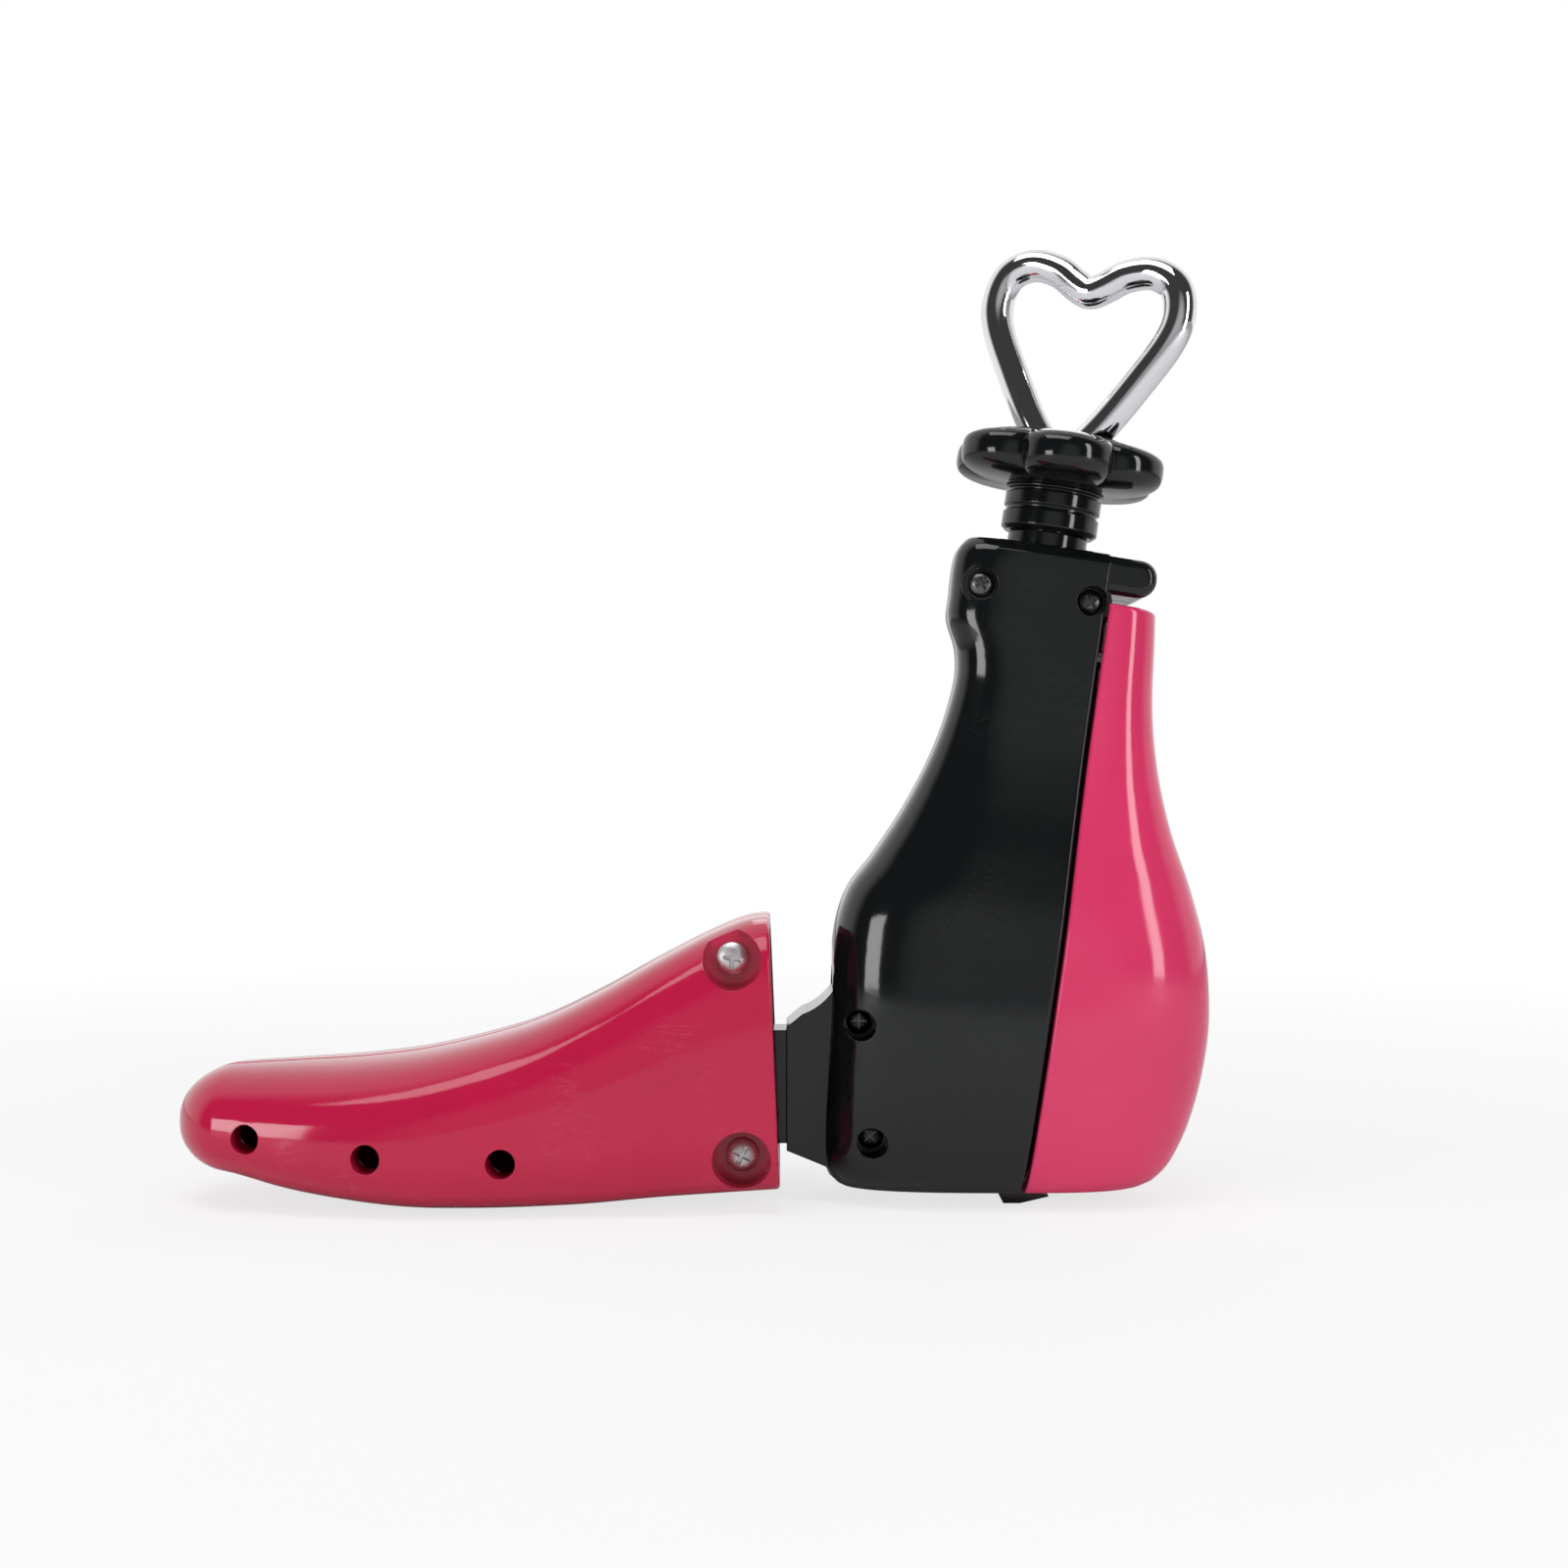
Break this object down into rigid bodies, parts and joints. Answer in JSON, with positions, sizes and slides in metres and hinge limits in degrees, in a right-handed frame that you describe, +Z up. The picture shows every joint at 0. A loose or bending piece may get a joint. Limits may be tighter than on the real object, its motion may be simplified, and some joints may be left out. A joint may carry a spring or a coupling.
{
  "type": "shoe stretcher",
  "caption": "Shoe stretcher with a split toe that spreads sideways, a heel block that slides back, a star knob and a heart-shaped handle.",
  "frame": {"origin": "middle of the footprint on the surface that the stretcher stands on", "axes": "+X towards the heel, along the stretcher; +Y across, away from the near half; +Z up"},
  "size_m": [0.2191, 0.0574, 0.2045],
  "materials": {
    "toe_plastic": "glossy moulded plastic with fine scuffs",
    "heel_plastic": "glossy moulded plastic",
    "black_plastic": "high gloss moulded plastic",
    "inner_plastic": "satin moulded plastic",
    "chrome": "polished chrome",
    "screw_steel": "zinc plated",
    "dark_steel": "black oxide",
    "drive_steel": "turned steel",
    "nut_metal": "cast brass"
  },
  "bodies": {
    "root": {"body_shell_near": "black_plastic", "body_shell_far": "black_plastic", "shell_screws": "dark_steel", "toe_bracket": "black_plastic", "toe_guide_pins": "drive_steel", "pin_clips": "drive_steel", "knob_bush": "black_plastic", "upper_guide": "inner_plastic", "lower_guide": "inner_plastic", "toe_springs_near": "drive_steel", "toe_springs_far": "drive_steel"},
    "knob": {"star_knob": "black_plastic", "knob_hub": "black_plastic", "length_screw": "drive_steel", "knob_clip": "drive_steel"},
    "handle": {"heart_handle": "chrome", "handle_ferrule": "chrome", "spindle": "drive_steel"},
    "length_nut": {"length_wedge": "nut_metal"},
    "heel": {"heel_block": "heel_plastic", "heel_slider": "inner_plastic", "heel_guide_bars": "drive_steel", "heel_screws": "screw_steel"},
    "width_nut": {"width_wedge": "nut_metal"},
    "push": {"push_rod": "drive_steel", "spreader_wedge": "inner_plastic"},
    "toe_near": {"toe_half_near": "toe_plastic", "ramp_block_near": "inner_plastic", "toe_screws_near": "screw_steel"},
    "toe_far": {"toe_half_far": "toe_plastic", "ramp_block_far": "inner_plastic", "toe_screws_far": "screw_steel"}
  },
  "joints": [
    {"name": "knob_turn", "type": "hinge", "parent": "root", "child": "knob", "pos_m": [0.07132, 0, 0.1109], "axis": [0.1478, 0, 0.989], "range_deg": [0, 1260]},
    {"name": "handle_turn", "type": "hinge", "parent": "root", "child": "handle", "pos_m": [0.07132, 0, 0.1109], "axis": [0.1478, 0, 0.989], "range_deg": [0, 1404.62]},
    {"name": "heel_slide", "type": "slide", "parent": "root", "child": "heel", "axis": [0.989, 0, -0.1478], "range_m": [0, 0.01401]},
    {"name": "length_nut_slide", "type": "slide", "parent": "heel", "child": "length_nut", "axis": [-0.5024, 0, 0.8646], "range_m": [0, 0.02242]},
    {"name": "width_nut_slide", "type": "slide", "parent": "root", "child": "width_nut", "axis": [-0.1478, 0, -0.989], "range_m": [0, 0.01562]},
    {"name": "push_rod_slide", "type": "slide", "parent": "root", "child": "push", "axis": [-1, 0, 0], "range_m": [0, 0.01001]},
    {"name": "toe_near_slide", "type": "slide", "parent": "root", "child": "toe_near", "axis": [0, -1, 0], "range_m": [0, 0.00501], "deforming": ["toe_springs_near"]},
    {"name": "toe_far_slide", "type": "slide", "parent": "root", "child": "toe_far", "axis": [0, 1, 0], "range_m": [0, 0.00501], "deforming": ["toe_springs_far"]}
  ],
  "couplings": [
    {"joint": "heel_slide", "follows": "knob_turn", "m_per_rad": 0.00063662},
    {"joint": "length_nut_slide", "follows": "knob_turn", "m_per_rad": 0.0010191},
    {"joint": "width_nut_slide", "follows": "handle_turn", "m_per_rad": 0.00063662},
    {"joint": "push_rod_slide", "follows": "handle_turn", "m_per_rad": 0.00040791},
    {"joint": "toe_near_slide", "follows": "handle_turn", "m_per_rad": 0.00020395},
    {"joint": "toe_far_slide", "follows": "handle_turn", "m_per_rad": 0.00020395}
  ]
}
